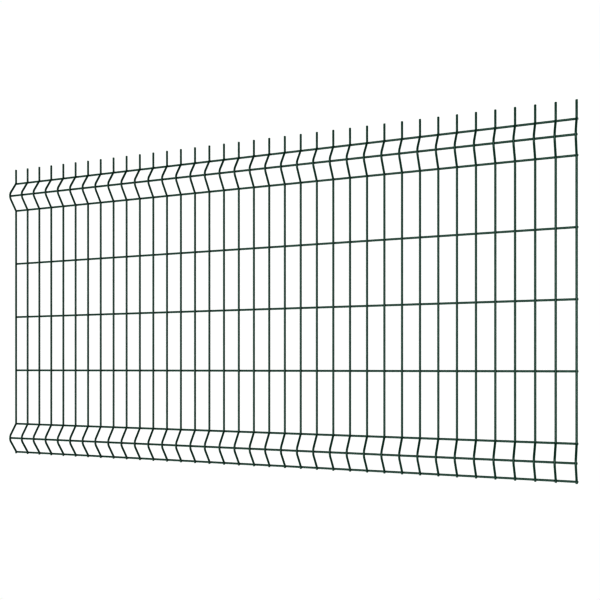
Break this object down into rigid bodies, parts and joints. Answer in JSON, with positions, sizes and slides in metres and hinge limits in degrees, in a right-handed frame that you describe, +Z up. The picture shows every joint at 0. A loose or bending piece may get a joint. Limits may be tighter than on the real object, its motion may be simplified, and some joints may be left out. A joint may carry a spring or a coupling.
{
  "type": "welded mesh fence panel",
  "caption": "Green coated welded wire fence panel with a V fold along its head and foot and bare points above the top wire.",
  "frame": {"origin": "on the flat back of the bottom cross wire, level with its axis, behind the axis of the first upright wire", "axes": "+X along the panel from the first upright to the last, +Y out of the panel's back towards the posts, +Z up; the folds stand out towards -Y"},
  "size_m": [2, 0.043, 1.0631],
  "materials": {
    "upright_coat": "satin",
    "cross_coat": "satin"
  },
  "bodies": {
    "root": {"upright_wire_01": "upright_coat", "upright_wire_02": "upright_coat", "upright_wire_03": "upright_coat", "upright_wire_04": "upright_coat", "upright_wire_05": "upright_coat", "upright_wire_06": "upright_coat", "upright_wire_07": "upright_coat", "upright_wire_08": "upright_coat", "upright_wire_09": "upright_coat", "upright_wire_10": "upright_coat", "upright_wire_11": "upright_coat", "upright_wire_12": "upright_coat", "upright_wire_13": "upright_coat", "upright_wire_14": "upright_coat", "upright_wire_15": "upright_coat", "upright_wire_16": "upright_coat", "upright_wire_17": "upright_coat", "upright_wire_18": "upright_coat", "upright_wire_19": "upright_coat", "upright_wire_20": "upright_coat", "upright_wire_21": "upright_coat", "upright_wire_22": "upright_coat", "upright_wire_23": "upright_coat", "upright_wire_24": "upright_coat", "upright_wire_25": "upright_coat", "upright_wire_26": "upright_coat", "upright_wire_27": "upright_coat", "upright_wire_28": "upright_coat", "upright_wire_29": "upright_coat", "upright_wire_30": "upright_coat", "upright_wire_31": "upright_coat", "upright_wire_32": "upright_coat", "upright_wire_33": "upright_coat", "upright_wire_34": "upright_coat", "upright_wire_35": "upright_coat", "upright_wire_36": "upright_coat", "upright_wire_37": "upright_coat", "bottom_wire": "cross_coat", "lower_crest_wire": "cross_coat", "lower_fold_head_wire": "cross_coat", "mesh_wire_1": "cross_coat", "mesh_wire_2": "cross_coat", "mesh_wire_3": "cross_coat", "upper_fold_foot_wire": "cross_coat", "upper_crest_wire": "cross_coat", "top_wire": "cross_coat"}
  },
  "joints": []
}
